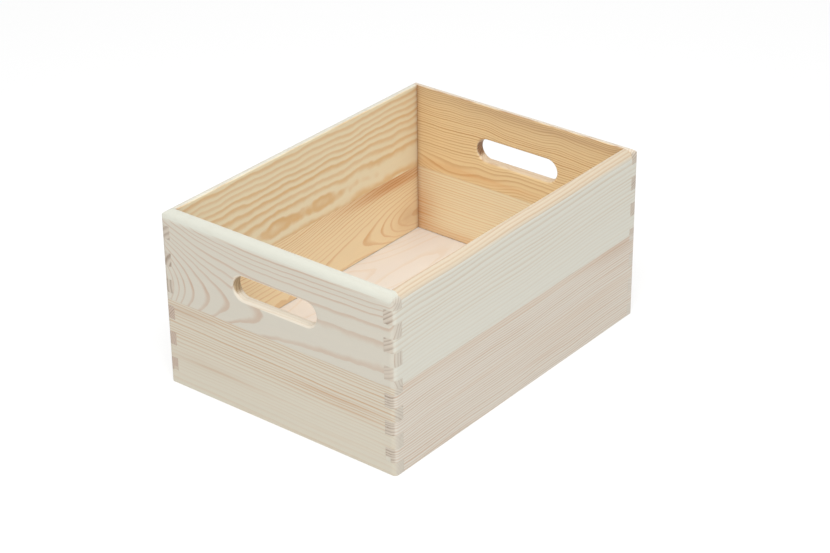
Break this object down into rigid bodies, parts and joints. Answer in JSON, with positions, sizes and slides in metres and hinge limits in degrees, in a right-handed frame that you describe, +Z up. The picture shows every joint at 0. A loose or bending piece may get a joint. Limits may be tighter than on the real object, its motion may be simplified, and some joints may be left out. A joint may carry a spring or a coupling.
{
  "type": "wooden toy box",
  "caption": "Open rectangular pine toy box with finger-jointed corners, edge-glued board walls, a rounded rim, a slotted handle in each end and a thin plywood base held in a groove.",
  "frame": {"origin": "middle of the rectangle that the box stands on, at the height of the floor", "axes": "+X along the long sides from the front end to the back end, +Y towards the left side, +Z up"},
  "size_m": [0.4, 0.292, 0.1924],
  "materials": {
    "pine_end_board": "satin clear-finished pine, pale with pinkish-brown growth rings",
    "pine_side_board": "satin clear-finished pine, warm cream with tan growth rings",
    "birch_plywood": "smooth pinkish-cream birch plywood",
    "pine_plug": "satin pale pine"
  },
  "bodies": {
    "root": {"front_end_upper_board": "pine_end_board", "front_end_lower_board": "pine_end_board", "back_end_upper_board": "pine_end_board", "back_end_lower_board": "pine_end_board", "left_side_upper_board": "pine_side_board", "left_side_lower_board": "pine_side_board", "right_side_upper_board": "pine_side_board", "right_side_lower_board": "pine_side_board", "base_panel": "birch_plywood", "groove_plug_front_left": "pine_plug", "groove_plug_front_right": "pine_plug", "groove_plug_back_left": "pine_plug", "groove_plug_back_right": "pine_plug"}
  },
  "joints": []
}
